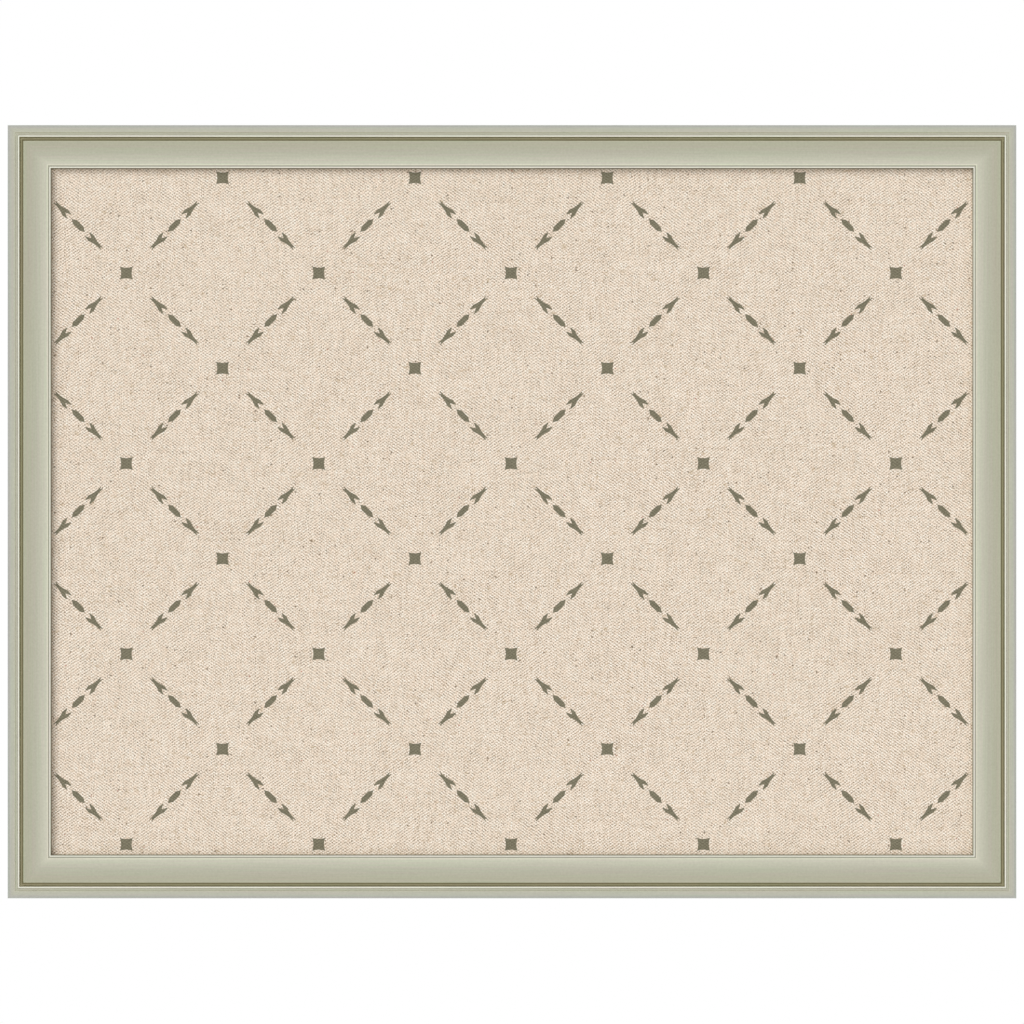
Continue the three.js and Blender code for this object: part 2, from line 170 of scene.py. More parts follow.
# %% [markdown]
# A finish starts as an empty tree. `start_material` also gives the place on the piece in millimetres, from
# Object coordinates, which stay put when the camera or the piece moves. `end_material` joins the bump and the
# shader to an output, and `set_ramp` fills a colour ramp.

# %% A material's start
def start_material(name):
    material = bpy.data.materials.new(name)
    material.use_nodes = True
    tree = material.node_tree
    tree.nodes.clear()
    place = add(tree, "TexCoord").outputs["Object"]
    in_mm = add(tree, "VectorMath", {0: place, "Scale": 1 / mm}, operation="SCALE")
    print("material:", name)
    return material, tree, in_mm.outputs[0]


def end_material(tree, shader, bump=None):
    if bump:
        tree.links.new(bump.outputs[0], shader.inputs["Normal"])
    add(tree, "OutputMaterial", {"Surface": shader})


def set_ramp(node, stops):
    ramp = node.color_ramp
    while len(ramp.elements) < len(stops):
        ramp.elements.new(1)
    for element, (position, colour) in zip(ramp.elements, stops):
        element.position = position
        element.color = linear(colour)


# %% [markdown]
# ## The stage
#
# The photograph's ground is pure white. A pale floor lies below the board and takes its soft shadow. Away
# from the board the floor fades into plain white for the camera, and so does the world behind it, as a
# paper sweep does in a studio. The white is a colour of the ground and puts no more light on the board.
# Metal doesn't mirror the floor, but the white room behind it, which is as bright.

# %% The floor
floor_drop = 0.25
floor_reach = 30
white_from, white_to = 0.55, 1.1
paper_grain = 1.25

floor_mesh = bpy.data.meshes.new("floor")
shape = bmesh.new()
bmesh.ops.create_grid(shape, x_segments=1, y_segments=1, size=floor_reach)
bmesh.ops.translate(shape, verts=shape.verts, vec=(0, 0, cad_low.z - floor_drop))
shape.to_mesh(floor_mesh)
shape.free()
floor = bpy.data.objects.new("floor", floor_mesh)
bpy.context.scene.collection.objects.link(floor)
floor.visible_glossy = False
floor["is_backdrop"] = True

paper, tree, place = start_material("white_paper_sweep")
flat_place = add(tree, "VectorMath", {0: place, 1: (mm, mm, 0)}, operation="MULTIPLY")
away = add(tree, "VectorMath", {0: flat_place}, operation="LENGTH")
fade = add(
    tree, "MapRange",
    {"Value": away.outputs["Value"], "From Min": white_from, "From Max": white_to},
    interpolation_type="SMOOTHSTEP",
)
path = add(tree, "LightPath")
plain_white = add(tree, "Math", {0: path.outputs["Is Camera Ray"], 1: fade}, operation="MULTIPLY")
grain = add(tree, "TexNoise", {"Vector": place, "Scale": 1 / paper_grain, "Detail": 3})
tone = add(tree, "Mix", {"Factor": grain, "A": linear("#F4F3F1"), "B": linear("#F8F7F5")}, data_type="RGBA")
sheet_of_paper = add(tree, "BsdfPrincipled", {"Base Color": tone, "Roughness": 0.9})
white = add(tree, "Emission", {"Color": (1, 1, 1, 1), "Strength": 1})
ground = add(tree, "MixShader", {0: plain_white, 1: sheet_of_paper, 2: white})
end_material(tree, ground)
floor_mesh.materials.append(paper)
print("floor at z, mm:", round((cad_low.z - floor_drop) / mm, 1))

# %% [markdown]
# ## The light
#
# Distant softboxes light the board evenly from edge to edge. The key stands up and to the left, so the
# frame's lip throws a soft shadow on the fabric along the left and the top. The fill comes from the front.
# One more softbox stands behind and lights the back as fully. The world adds the light that white walls
# would send back. Together they light a white card to about 1 on either side, so that a colour renders as
# it is written.
#
# Metal mirrors the white room, and that already stands for most of the lamps' glare. So only the wide
# softbox in front is seen in it, as a faint broad highlight on what faces forward.

# %% The light
room_strength = 0.30

for name, strength, spread, towards, mirrored in (
    ("key_softbox", 2.0, 34, (0.58, 0.60, -0.55), False),
    ("fill_softbox", 0.39, 40, (0.15, 0.97, -0.20), False),
    ("wide_softbox", 0.3, 80, (0, 1, 0), True),
    ("back_softbox", 1.8, 50, (-0.30, -0.94, -0.15), False),
):
    lamp = bpy.data.lights.new(name, "SUN")
    lamp.energy = strength
    lamp.angle = radians(spread)
    holder = bpy.data.objects.new(name, lamp)
    holder.visible_glossy = mirrored
    holder.rotation_euler = Vector(towards).to_track_quat("-Z", "Y").to_euler()
    bpy.context.scene.collection.objects.link(holder)

world = bpy.data.worlds.new("white_room")
bpy.context.scene.world = world
world.use_nodes = True
tree = world.node_tree
tree.nodes.clear()
path = add(tree, "LightPath")
seen = path.outputs["Is Camera Ray"]
for kind_of_ray in ("Is Glossy Ray", "Is Transmission Ray"):
    seen = add(tree, "Math", {0: seen, 1: path.outputs[kind_of_ray]}, operation="MAXIMUM")
room = add(tree, "Background", {"Color": (1, 1, 1, 1), "Strength": room_strength})
backdrop = add(tree, "Background", {"Color": (1, 1, 1, 1), "Strength": 1})
either = add(tree, "MixShader", {0: seen, 1: room, 2: backdrop})
add(tree, "OutputWorld", {"Surface": either})

# %% [markdown]
# ## Making a piece
#
# Some CAD solids already have the right form, but their triangles are loose and flat-shaded. `copy_of`
# welds such a mesh and merges the triangles of each flat face. `make_piece` turns a finished bmesh into an
# object: smooth where the surface is round, sharp at arrises, riding on its body and standing for the CAD
# nodes it replaces.

# %% Making a piece
weld = 0.001 * mm
flat_within = radians(0.5)


def copy_of(node):
    shape = bmesh.new()
    shape.from_mesh(frame["nodes"][node].data)
    bmesh.ops.remove_doubles(shape, verts=shape.verts, dist=weld)
    bmesh.ops.dissolve_limit(shape, angle_limit=flat_within, verts=shape.verts, edges=shape.edges)
    return shape


def sharp_edges(shape, angle):
    return [edge for edge in shape.edges if edge.is_manifold and edge.calc_face_angle() > radians(angle)]


def make_piece(name, shape, materials, body, stands_for, sharp=35):
    for face in shape.faces:
        face.smooth = True
    for edge in sharp_edges(shape, sharp):
        edge.smooth = False
    mesh = bpy.data.meshes.new(name)
    shape.to_mesh(mesh)
    shape.free()
    for material in materials:
        mesh.materials.append(material)
    piece = bpy.data.objects.new(name, mesh)
    bpy.context.scene.collection.objects.link(piece)
    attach(piece, body)
    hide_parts(*stands_for)
    return piece


# %% [markdown]
# ## Silver leaf on the moulding
#
# The moulding is pine with a gesso skin, covered with a pale champagne leaf. The leaf is toned with a thin
# olive wash that gathers in the channel. Over it the colour also carries painted light: painted highlights on
# the crest and the bead, and painted shading that makes the scoop brighten inwards. So the colour follows the
# distance from the outer edge. That distance is worked out from Object coordinates as the smaller of the two
# ways to the board's outline, which makes the mitres by itself.
#
# The brush left very fine streaks along each rail, so a noise is drawn out along the rail and kept narrow
# across it.

# %% Places on the moulding
def moulding_places(tree, place):
    """The way in from the outer edge, along the rail and up from the back, in mm, and 1 on the side rails."""
    axes = add(tree, "SeparateXYZ", {0: place})
    from_side, from_top = (
        add(tree, "Math", {0: half / mm, 1: add(tree, "Math", {0: axes.outputs[axis]}, operation="ABSOLUTE")},
            operation="SUBTRACT")
        for axis, half in (("X", half_width), ("Z", half_height))
    )
    inward = add(tree, "Math", {0: from_side, 1: from_top}, operation="MINIMUM")
    on_side = add(tree, "Math", {0: from_side, 1: from_top}, operation="LESS_THAN")
    along = add(
        tree, "Mix", {"Factor": on_side, "A": axes.outputs["X"], "B": axes.outputs["Z"]}, data_type="FLOAT",
    )
    height = add(tree, "Math", {0: rail_back / mm, 1: axes.outputs["Y"]}, operation="SUBTRACT")
    return inward, along, height, on_side


# %% [markdown]
# The tones are listed from the outer edge to the sight edge, each at its distance in millimetres: the
# rounded outer edge, the quirk, the crest with a painted highlight, the dark channel with its lighter floor,
# the broad scoop whose painted shading brightens it inwards, with a painted highlight at its inner end, the
# dark quirk and the bead with a painted highlight. The crest's inner wall and the channel's inner edge are
# painted lighter, to offset the shade that falls on them.

# %% The leaf's tones
# Wash tones, with painted highlights and painted shading along the profile.
leaf_wash_and_painted_light_tones = (
    (0.0, "#BDBFBA"), (1.0, "#ADAEA8"), (2.6, "#AFAFA3"), (4.4, "#B0AFA2"), (4.65, "#C6C5B4"),
    (5.05, "#C6C5B4"), (5.4, "#A8A798"), (6.1, "#B8B7A7"), (6.3, "#E4E3D8"), (6.6, "#DCDBD1"),
    (7.6, "#DCDBD1"), (7.8, "#DAD6BE"), (8.2, "#CAC6A9"), (8.75, "#8E896E"), (9.1, "#817C61"),
    (9.4, "#706B53"), (9.7, "#767159"), (9.9, "#918D76"), (10.1, "#BEBDA9"), (10.35, "#B8B8A5"),
    (10.7, "#A9A896"), (13.0, "#A9A796"), (18.0, "#ACAB9C"), (20.5, "#B2B1A2"), (25.1, "#BEBDAE"),
    (25.35, "#CCCBBA"), (25.85, "#CCCBBA"), (26.05, "#9C9B8D"), (26.45, "#9C9B8D"), (26.62, "#EAE9E0"),
    (27.3, "#EAE9E0"), (27.6, "#C6C4B5"),
)

leaf, tree, place = start_material("champagne_leaf_wash_and_painted_light")
inward, along, height, on_side = moulding_places(tree, place)
share_in = add(tree, "Math", {0: inward, 1: face_width / mm}, operation="DIVIDE")
tones = add(tree, "ValToRGB", {0: share_in})
set_ramp(tones, [(way / (face_width / mm), colour) for way, colour in leaf_wash_and_painted_light_tones])
print("leaf tones:", len(leaf_wash_and_painted_light_tones))

# %% [markdown]
# Streaks about half a millimetre wide and several centimetres long, and a much fainter grain across them,
# lighten and darken the tone by a few parts in a hundred: the leaf is even and looks smooth from a step
# away. A slow drift of hue keeps the long rails from looking printed.

# %% The leaf's streaks
streak_length, streak_width = 45, 0.55
speck, speck_share = 1.3, 0.9
side_shift = 7.3
faint, strong = 0.6, 1.3

streak_place = add(tree, "CombineXYZ", {
    0: add(tree, "Math", {0: along, 1: 1 / streak_length}, operation="MULTIPLY"),
    1: add(tree, "Math", {0: inward, 1: 1 / streak_width}, operation="MULTIPLY"),
    2: add(tree, "Math", {0: on_side, 1: side_shift}, operation="MULTIPLY"),
})
streaks = add(tree, "TexNoise", {"Vector": streak_place, "Scale": 1, "Detail": 3, "Roughness": 0.6})
cross_place = add(tree, "CombineXYZ", {
    0: add(tree, "Math", {0: along, 1: 1 / speck}, operation="MULTIPLY"),
    1: add(tree, "Math", {0: inward, 1: 1 / speck}, operation="MULTIPLY"),
    2: height,
})
crossing = add(tree, "TexNoise", {"Vector": cross_place, "Scale": 1, "Detail": 2, "Roughness": 0.5})
both = add(tree, "Math", {0: crossing, 1: speck_share, 2: streaks}, operation="MULTIPLY_ADD")
strokes = add(tree, "MapRange", {
    "Value": both, "From Min": faint, "From Max": strong, "To Min": 0.91, "To Max": 1.09,
})
stroked = add(tree, "VectorMath", {0: tones, "Scale": strokes}, operation="SCALE")
drift = add(tree, "TexNoise", {"Vector": streak_place, "Scale": 0.45, "Detail": 2})
hue = add(tree, "MapRange", {"Value": drift, "From Min": 0.35, "From Max": 0.65})
tint = add(tree, "Mix", {"Factor": hue, "A": linear("#FBFFF8"), "B": linear("#FFFBFB")}, data_type="RGBA")
tinted = add(tree, "Mix", {"Factor": 1, "A": stroked, "B": tint}, data_type="RGBA", blend_type="MULTIPLY")
print("streaks, mm:", streak_width, "x", streak_length)

# %% [markdown]
# A thin dark line of painted shade lies on the inner flank of the bead, round the fabric. The narrow wall
# below it never got leaf: it is toned gesso, and sends some light on to the cloth beside it. The leaf itself
# is thin metal under a satin lacquer, so it is mostly metallic and fairly rough.

# %% The leaf's shader
bead_shade_from, bead_shade_to = 27.52, 27.72
wall_from, wall_to = 27.94, 27.98

# Painted shade: a thin dark line on the bead's inner flank, round the fabric.
painted_shade_on_bead_flank = add(tree, "MapRange", {"Value": inward, "From Min": bead_shade_from, "From Max": bead_shade_to})
with_bead_flank_shade = add(tree, "Mix", {"Factor": painted_shade_on_bead_flank, "A": tinted, "B": linear("#5B5540")}, data_type="RGBA")
on_wall = add(tree, "MapRange", {"Value": inward, "From Min": wall_from, "From Max": wall_to})
toned = add(tree, "Mix", {"Factor": on_wall, "A": with_bead_flank_shade, "B": linear("#ADA893")}, data_type="RGBA")
leafed = add(tree, "MapRange", {"Value": on_wall, "To Min": 0.94, "To Max": 0})
satin = add(tree, "MapRange", {
    "Value": both, "From Min": faint, "From Max": strong, "To Min": 0.30, "To Max": 0.42,
})
bump = add(tree, "Bump", {"Height": both, "Distance": 0.02 * mm, "Strength": 0.5})
shader = add(tree, "BsdfPrincipled", {"Base Color": toned, "Roughness": satin, "Metallic": leafed})
end_material(tree, shader, bump)
print("wash from", bead_shade_from, "mm, wall from", wall_from, "mm")

# %% [markdown]
# ## Bare pine behind
#
# The back of the moulding is bare sawn pine. Its grain runs along each rail: long growth lines, a finer
# fibre between them, and here and there a darker streak of resin. Both noises are drawn out along the rail,
# at the real width of the growth rings, 2 to 4 mm. Each rail was sawn from its own stick, so its grain is
# shifted to a number of its own, made of which pair it belongs to and which side of the middle it lies on.
# Along the outer edge some of the leaf's size and wash ran round on to the wood and dried in a ragged smear.

# %% Pine
growth_length, growth_width, growth_depth = 160, 2.6, 3.4
pair_shift = 5.3
smear_least, smear_most = 0.2, 2.6

pine, tree, place = start_material("sawn_pine_back")
inward, along, height, on_side = moulding_places(tree, place)
axes = add(tree, "SeparateXYZ", {0: place})
off_middle = add(
    tree, "Mix", {"Factor": on_side, "A": axes.outputs["Z"], "B": axes.outputs["X"]}, data_type="FLOAT",
)
beyond = add(tree, "Math", {0: off_middle}, operation="SIGN")
stick = add(tree, "Math", {0: on_side, 1: pair_shift, 2: beyond}, operation="MULTIPLY_ADD")
grain_place = add(tree, "CombineXYZ", {
    0: add(tree, "Math", {0: along, 1: 1 / growth_length}, operation="MULTIPLY"),
    1: add(tree, "Math", {0: inward, 1: 1 / growth_width}, operation="MULTIPLY"),
    2: add(tree, "Math", {0: height, 1: 1 / growth_depth, 2: stick}, operation="MULTIPLY_ADD"),
})
growth = add(tree, "TexNoise", {"Vector": grain_place, "Scale": 1, "Detail": 2, "Distortion": 0.6})
fibre_place = add(tree, "VectorMath", {0: grain_place, 1: (9, 9, 9)}, operation="MULTIPLY")
fibres = add(tree, "TexNoise", {"Vector": fibre_place, "Scale": 1, "Detail": 3})
wood_tone = add(tree, "ValToRGB", {0: growth})
set_ramp(wood_tone, [(0.30, "#B98E58"), (0.44, "#D3AC77"), (0.60, "#DDBB88"), (0.74, "#C69C64")])
fibre_tone = add(tree, "MapRange", {
    "Value": fibres, "From Min": 0.3, "From Max": 0.7, "To Min": 0.86, "To Max": 1.1,
})
wood = add(tree, "VectorMath", {0: wood_tone, "Scale": fibre_tone}, operation="SCALE")
smear_edge = add(tree, "TexNoise", {"Vector": grain_place, "Scale": 3, "Detail": 2})
smear_reach = add(tree, "MapRange", {
    "Value": smear_edge, "From Min": 0.3, "From Max": 0.7, "To Min": smear_least, "To Max": smear_most,
})
smear = add(tree, "Math", {0: smear_reach, 1: inward}, operation="SUBTRACT")
smeared = add(tree, "MapRange", {"Value": smear, "From Min": -0.3, "From Max": 0.3, "To Max": 0.75})
backed = add(tree, "Mix", {"Factor": smeared, "A": wood, "B": linear("#A9A28A")}, data_type="RGBA")
bump = add(tree, "Bump", {"Height": fibres, "Distance": 0.08 * mm, "Strength": 0.7})
shader = add(tree, "BsdfPrincipled", {"Base Color": backed, "Roughness": 0.72, "Specular IOR Level": 0.35})
end_material(tree, shader, bump)

# %% [markdown]
# ## The rails
#
# Each rail keeps the form of its CAD solid, with its slots and its pilot hole, but smooth-shaded: the scoop
# is one sweep of a cutter and shows no facets. Faces on the back, in the rabbet and at the mitre are bare
# wood. The gesso fills the glue line of each mitre, so the rails all but meet there and the leaf hardly
# shows a seam.

# %% The rails
rabbet_depth = 17 * mm
edge_skin = 0.35 * mm
slack = 0.05 * mm
near_mitre, mitre_line = 0.12 * mm, 0.01 * mm
slant_within, upright_within = 0.01, 0.5

for side in sides:
    shape = copy_of(f"rail_{side}")
    for corner in shape.verts:
        from_side, from_top = half_width - abs(corner.co.x), half_height - abs(corner.co.z)
        if side in ("top", "bottom") and 0 < from_side - from_top < near_mitre:
            corner.co.x = (half_width - from_top - mitre_line) * (1 if corner.co.x > 0 else -1)
        if side in ("left", "right") and 0 < from_top - from_side < near_mitre:
            corner.co.z = (half_height - from_side - mitre_line) * (1 if corner.co.z > 0 else -1)
    for face in shape.faces:
        middle = face.calc_center_median()
        inward_way = min(half_width - abs(middle.x), half_height - abs(middle.z))
        behind_leaf = rail_back - middle.y < rabbet_depth + slack and inward_way > edge_skin
        slanting = abs(abs(face.normal.x) - abs(face.normal.z)) < slant_within
        mitred = slanting and abs(face.normal.y) < upright_within
        face.material_index = 1 if behind_leaf or mitred else 0
    rail = make_piece(
        f"moulding_{side}", shape, (leaf, pine), "board", [f"rail_{side}"], sharp=40,
    )
    print(rail.name, len(rail.data.polygons), "faces")

# %% [markdown]
# ## The fabric cover
#
# A plain-weave linen look, stretched over the cork and stapled behind. It is one sheet: the face, a soft
# turn round the panel's edge, the side and a hem turned in behind, mitred at the corners. Inside the
# opening it stands a little proud of where the lip presses it down.
#
# The sheet starts as a grid for the face. Each ring after it is the boundary extruded, then scaled to the
# ring's size and moved to its depth, so the whole section is a short list: how far in from the panel's
# edge, and y. A quarter turn has one point in its middle, which lies in by `turn_share` of the radius.

# %% The fabric's shape
cover_low, cover_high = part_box("fabric_cover")
cloth = 0.7 * mm
turn = 1.5 * mm
turn_share = 1 - 0.5 ** 0.5
lip_y = rail_back - rabbet_depth + 0.1 * mm
lip_in = cover_high.x - sight_width
hem = 26 * mm
columns, rows = 100, 76

rings = [
    (lip_in + 1.9 * mm, cover_low.y),
    (lip_in + 0.9 * mm, cover_low.y + 0.04 * mm),
    (lip_in + 0.3 * mm, cover_low.y + 0.13 * mm),
    (lip_in - 0.3 * mm, lip_y - 0.03 * mm),
    (lip_in - 1.2 * mm, lip_y),
    (turn, lip_y),
    (turn * turn_share, lip_y + turn * turn_share),
    (0, lip_y + turn),
    (0, cover_high.y - turn),
    (turn * turn_share, cover_high.y - turn * turn_share),
    (turn, cover_high.y),
    (hem, cover_high.y),
]

shape = bmesh.new()
bmesh.ops.create_grid(shape, x_segments=columns, y_segments=rows, size=1)
bmesh.ops.rotate(shape, verts=shape.verts, matrix=Matrix.Rotation(radians(90), 3, "X"))
at_in, at_y = rings[0]
at = Vector((cover_high.x - at_in, 1, cover_high.z - at_in))
bmesh.ops.scale(shape, verts=shape.verts, vec=at)
bmesh.ops.translate(shape, verts=shape.verts, vec=(0, at_y, 0))
for ring_in, ring_y in rings[1:]:
    border = [edge for edge in shape.edges if edge.is_boundary]
    grown = bmesh.ops.extrude_edge_only(shape, edges=border)["geom"]
    corners = [item for item in grown if isinstance(item, bmesh.types.BMVert)]
    to = Vector((cover_high.x - ring_in, 1, cover_high.z - ring_in))
    bmesh.ops.scale(shape, verts=corners, vec=(to.x / at.x, 1, to.z / at.z))
    bmesh.ops.translate(shape, verts=corners, vec=(0, ring_y - at_y, 0))
    at, at_y = to, ring_y
bmesh.ops.recalc_face_normals(shape, faces=shape.faces)
print("cloth mesh:", len(shape.faces), "faces,", len(rings), "rings")

# %% [markdown]
# ## Linen weave and printed trellis
#
# The cloth is a plain weave of slubby yarn in ecru, oat and a few brown flecks. Warp threads lie 1.42 mm
# apart and weft threads 0.97 mm. Where threads go over and under in turn, the eye sees two sets of slanting
# lines, so the weave is two slanting waves, each stronger in some places than in others, on a place that
# wanders a little, as handled yarn does. A third, fainter wave is the weft's uneven take-up. Longer streaks
# along warp and weft are the thick and thin stretches of the yarn.

# %% The yarn
warp, weft = 1.42, 0.97
uneven_across, uneven_up = 0.91, 1.11
thick_for, through_cloth = 11, 0.3
wander_size, wander_by = 9, (1.3, 0, 1.1)
region_size = 34

linen, tree, place = start_material("printed_slub_linen")
wander = add(tree, "TexNoise", {"Vector": place, "Scale": 1 / wander_size, "Detail": 2})
wander = add(tree, "VectorMath", {0: wander.outputs["Color"], 1: (0.5, 0.5, 0.5)}, operation="SUBTRACT")
lie = add(tree, "VectorMath", {0: wander, 1: wander_by, 2: place}, operation="MULTIPLY_ADD")
region = add(tree, "TexNoise", {"Vector": place, "Scale": 1 / region_size, "Detail": 2})

waves = []
for across, up, most, least in (
    (-warp, weft, 1.2, 0.6),
    (warp, weft, 0.5, 1.2),
    (uneven_across, uneven_up, 0.35, 0.35),
):
    phase = add(tree, "VectorMath", {0: lie, 1: (pi / across, 0, pi / up)}, operation="DOT_PRODUCT")
    wave = add(tree, "Math", {0: phase.outputs["Value"]}, operation="COSINE")
    power = add(tree, "MapRange", {
        "Value": region, "From Min": 0.38, "From Max": 0.62, "To Min": most, "To Max": least,
    })
    waves.append(add(tree, "Math", {0: wave, 1: power}, operation="MULTIPLY"))
weave = waves[0]
for wave in waves[1:]:
    weave = add(tree, "Math", {0: weave, 1: wave}, operation="ADD")

yarns = []
for stretch in ((1 / thick_for, through_cloth, 1 / weft), (1 / warp, through_cloth, 1 / thick_for)):
    along = add(tree, "VectorMath", {0: place, 1: stretch}, operation="MULTIPLY")
    yarns.append(add(tree, "TexNoise", {"Vector": along, "Scale": 1, "Detail": 2, "Roughness": 0.6}))
slubs = add(tree, "Math", {0: yarns[0], 1: yarns[1]}, operation="ADD")
print("weave, mm:", warp, "x", weft)

# %% [markdown]
# Now the tones. The weave, the slubs and the loose fibres go into one value, and a ramp turns it into cloth
# colours, from the shade between threads to the light on their crowns. Yarns of several spinnings are
# mixed, so the hue changes a little from place to place. Two more things lie over it: small olive-brown
# stains in the yarn, and flecks of stalk, dark ones and a few small reddish ones.
#
# Flecks are cells of a Voronoi pattern. Each kind says how wide a cell is in millimetres, how far its
# largest fleck reaches as a share of that, which share of the cells stays empty, and the fleck's colour.

# %% The cloth's tones
ground_tone, darkest_tone = 0.5, 1.102
fibre_size, mottle_size, spinning_size = 0.7, 14, 2.4
stain_width, stain_height, stain_full = 3.5, 2.2, 0.42
fleck_squeeze, fleck_full = 1.25, 0.8
flecks = (
    {"cell": 5.2, "size": 0.13, "empty": 0.855, "colour": "#594221"},
    {"cell": 17, "size": 0.033, "empty": 0.75, "colour": "#A8604C"},
)

fibres = add(tree, "TexNoise", {"Vector": place, "Scale": 1 / fibre_size, "Detail": 1})
mottle = add(tree, "TexNoise", {"Vector": place, "Scale": 1 / mottle_size, "Detail": 3})
tone = ground_tone
for pattern, share in ((weave, 0.17), (slubs, 0.33), (fibres, 1.45), (mottle, 0.08)):
    tone = add(tree, "Math", {0: pattern, 1: share, 2: tone}, operation="MULTIPLY_ADD")
cloth_tone = add(tree, "ValToRGB", {0: add(tree, "Math", {0: tone, 1: darkest_tone}, operation="SUBTRACT")})
set_ramp(cloth_tone, [
    (0.0, "#6F5E4C"), (0.28, "#C6B4A0"), (0.5, "#E3D3C2"), (0.72, "#F9ECDE"), (1.0, "#FFFDF7"),
])
yarn_hue = add(tree, "TexNoise", {"Vector": place, "Scale": 1 / spinning_size, "Detail": 2})
hue = add(tree, "MapRange", {"Value": yarn_hue, "From Min": 0.3, "From Max": 0.7})
tint = add(tree, "Mix", {"Factor": hue, "A": linear("#FFFCF8"), "B": linear("#FCFFFF")}, data_type="RGBA")
cloth_tone = add(
    tree, "Mix", {"Factor": 1, "A": cloth_tone, "B": tint}, data_type="RGBA", blend_type="MULTIPLY",
)

stain_stretch = (1 / stain_width, through_cloth, 1 / stain_height)
stain_place = add(tree, "VectorMath", {0: place, 1: stain_stretch}, operation="MULTIPLY")
stain = add(tree, "TexNoise", {"Vector": stain_place, "Scale": 1, "Detail": 2})
stained = add(tree, "MapRange", {"Value": stain, "From Min": 0.62, "From Max": 0.74, "To Max": stain_full})
cloth_colour = add(
    tree, "Mix", {"Factor": stained, "A": cloth_tone, "B": linear("#A98F63")}, data_type="RGBA",
)

axes = add(tree, "SeparateXYZ", {0: place})
cloth_place = add(tree, "CombineXYZ", {0: axes.outputs["X"], 1: axes.outputs["Z"]})
for kind in flecks:
    squeezed = (1 / kind["cell"], fleck_squeeze / kind["cell"], 0)
    fleck_place = add(tree, "VectorMath", {0: cloth_place, 1: squeezed}, operation="MULTIPLY")
    cells = add(tree, "TexVoronoi", {"Vector": fleck_place, "Scale": 1}, voronoi_dimensions="2D")
    chance = add(tree, "SeparateColor", {0: cells.outputs["Color"]})
    reach = add(tree, "MapRange", {"Value": chance, "From Min": kind["empty"], "To Max": kind["size"]})
    inside = add(tree, "Math", {0: reach, 1: cells.outputs["Distance"]}, operation="SUBTRACT")
    soft = kind["size"] / 3
    fleck = add(tree, "MapRange", {
        "Value": inside, "From Min": -soft, "From Max": soft, "To Max": fleck_full,
    })
    here = add(tree, "Math", {0: chance, 1: kind["empty"]}, operation="GREATER_THAN")
    fleck = add(tree, "Math", {0: fleck, 1: here}, operation="MULTIPLY")
    cloth_colour = add(
        tree, "Mix", {"Factor": fleck, "A": cloth_colour, "B": linear(kind["colour"])}, data_type="RGBA",
    )
print("fibres, mm:", fibre_size, "and mottle, mm:", mottle_size)

# %% [markdown]
# The print is a plain trellis, as on much upholstery cloth: a small hollow-sided square wherever two
# slanting lines cross, and on each line between two squares a lozenge with a forked dash on either side. So
# the squares sit on every second crossing of an upright grid. The whole pattern is one motif mirrored, so
# the place is folded: Ping-Pong runs it to and fro across one mesh of that grid. There a slanting line is the
# diagonal. `u` is the way along it from its middle and `v` the way off it.

# %% The trellis
mesh_width, mesh_height = 62.352, 61.726
crossing_x, crossing_z = -0.568, 31.278
diagonal = (mesh_width ** 2 + mesh_height ** 2) ** 0.5
along_x, along_z = mesh_width / diagonal, mesh_height / diagonal

from_x = add(tree, "Math", {0: axes.outputs["X"], 1: crossing_x}, operation="SUBTRACT")
from_z = add(tree, "Math", {0: axes.outputs["Z"], 1: crossing_z}, operation="SUBTRACT")
fold_x = add(tree, "Math", {0: from_x, 1: mesh_width}, operation="PINGPONG")
fold_z = add(tree, "Math", {0: from_z, 1: mesh_height}, operation="PINGPONG")
folded = add(tree, "CombineXYZ", {0: fold_x, 1: 0, 2: fold_z})
middle = add(tree, "VectorMath", {0: folded, 1: (mesh_width / 2, 0, mesh_height / 2)}, operation="SUBTRACT")
ways = []
for direction in ((along_x, 0, along_z), (-along_z, 0, along_x)):
    way = add(tree, "VectorMath", {0: middle, 1: direction}, operation="DOT_PRODUCT")
    ways.append(add(tree, "Math", {0: way.outputs["Value"]}, operation="ABSOLUTE"))
u, v = ways
print("from square to square, mm:", round(diagonal, 1))

# %% [markdown]
# The lozenge and the dash are drawn as two curves over `u`: how far the ink reaches from the line, and from
# where it starts, in millimetres. Below zero there is nothing to draw. A Float Curve only holds 0 to 1, so
# both lengths are squeezed into that on the way in and stretched again on the way out.

# %% The lozenge and the forked dash
curve_length, curve_low, curve_span = 25, -1, 6
ink_to = (
    (0, 1.75), (3.1, 1.75), (4.7, 0.66), (6.1, -0.1), (6.2, -1), (8.2, -1), (8.25, 1.8), (8.95, 2.2),
    (10.2, 2.27), (11.75, 2.52), (12.2, 2.44), (13.15, 2.05), (14.9, 1.5), (16.5, 1.17), (18.2, 0.96),
    (21.4, 0.93), (21.75, 0.75), (21.8, -1), (25, -1),
)
ink_from = (
    (0, -1), (8.2, -1), (8.25, 1.8), (10, 0.98), (11.7, 0.12), (12.9, -1), (18.2, -1), (19.85, 0.02),
    (20.5, 0.36), (21.75, 0.74), (25, 2.79),
)
shares = add(tree, "Math", {0: u, 1: curve_length}, operation="DIVIDE")
edges = []
for points in (ink_to, ink_from):
    curve = add(tree, "FloatCurve", {"Value": shares})
    held = curve.mapping.curves[0].points
    drawn = [(way / curve_length, (reach - curve_low) / curve_span) for way, reach in points]
    held[0].location, held[-1].location = drawn[0], drawn[-1]
    for corner in drawn[1:-1]:
        held.new(*corner)
    for point in held:
        point.handle_type = "VECTOR"
    curve.mapping.update()
    edges.append(add(tree, "Math", {0: curve, 1: curve_span, 2: curve_low}, operation="MULTIPLY_ADD"))
below = add(tree, "Math", {0: edges[0], 1: v}, operation="SUBTRACT")
above = add(tree, "Math", {0: v, 1: edges[1]}, operation="SUBTRACT")
